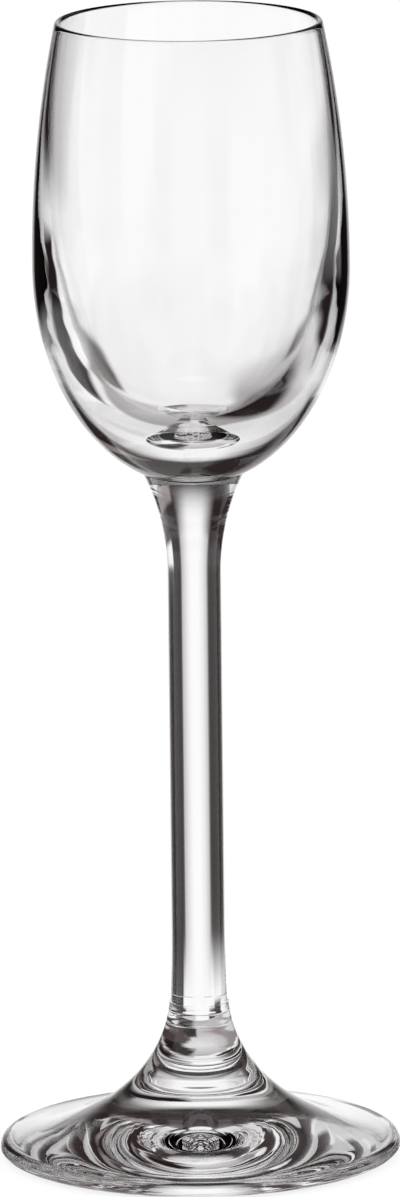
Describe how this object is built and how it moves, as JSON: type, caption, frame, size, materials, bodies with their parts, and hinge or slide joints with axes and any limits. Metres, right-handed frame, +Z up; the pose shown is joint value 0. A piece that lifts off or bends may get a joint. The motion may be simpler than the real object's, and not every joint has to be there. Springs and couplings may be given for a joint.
{
  "type": "cordial glass",
  "caption": "Clear cordial glass: a small tulip bowl with a thick solid base and a fine rim, fused to a slender straight stem on a wide round foot that sweeps up into a collar.",
  "frame": {"origin": "centre of the circle that the foot stands on", "axes": "+Z up along the glass's own axis, from the foot to the rim"},
  "size_m": [0.056, 0.056, 0.16],
  "materials": {
    "clear_glass": "fire-polished"
  },
  "bodies": {
    "root": {"bowl": "clear_glass", "stem": "clear_glass", "foot": "clear_glass"}
  },
  "joints": []
}
